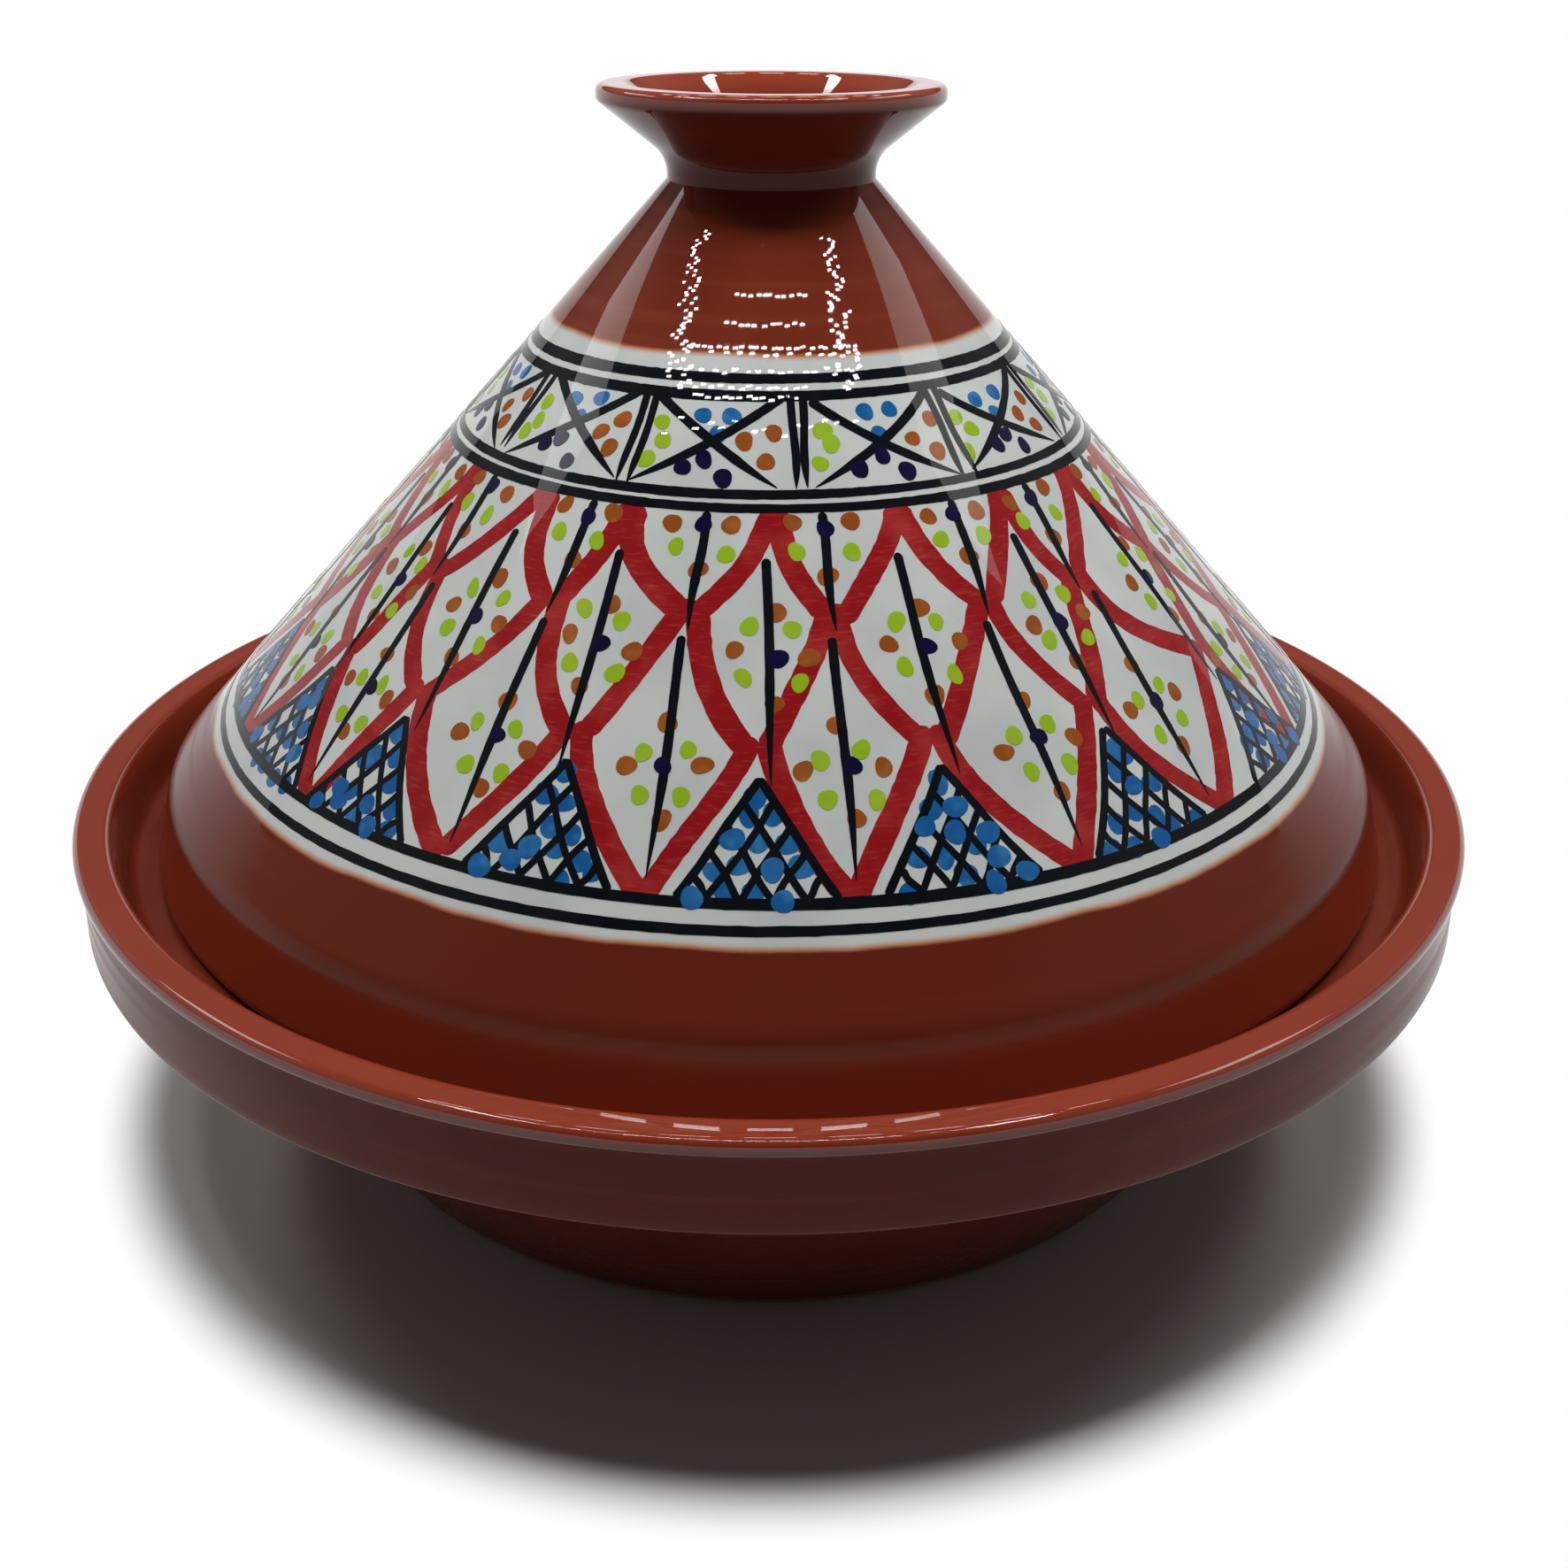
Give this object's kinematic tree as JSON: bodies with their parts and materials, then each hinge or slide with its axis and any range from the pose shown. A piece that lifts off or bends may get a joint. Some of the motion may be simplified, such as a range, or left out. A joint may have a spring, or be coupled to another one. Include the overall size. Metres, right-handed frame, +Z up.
{
  "type": "tagine pot",
  "caption": "Glazed earthenware tagine: a wide shallow dish with a rolled rim and lid seat, under a lift-off conical lid with a cup-shaped knob, hand-painted in bands.",
  "frame": {"origin": "on the pot's axis, on the table that the foot ring stands on", "axes": "+Z up along the pot's axis of revolution; X and Y lie in the table, and the pictured side faces -Y"},
  "size_m": [0.32, 0.32, 0.2315],
  "materials": {
    "dish_glaze": "gloss",
    "lid_glaze": "gloss",
    "knob_glaze": "gloss"
  },
  "bodies": {
    "dish": {"base_dish": "dish_glaze"},
    "lid": {"lid_cone": "lid_glaze", "lid_knob": "knob_glaze"}
  },
  "joints": [
    {"name": "lid_lift", "type": "slide", "parent": "dish", "child": "lid", "axis": [0, 0, 1], "range_m": [0, 0.2]}
  ]
}
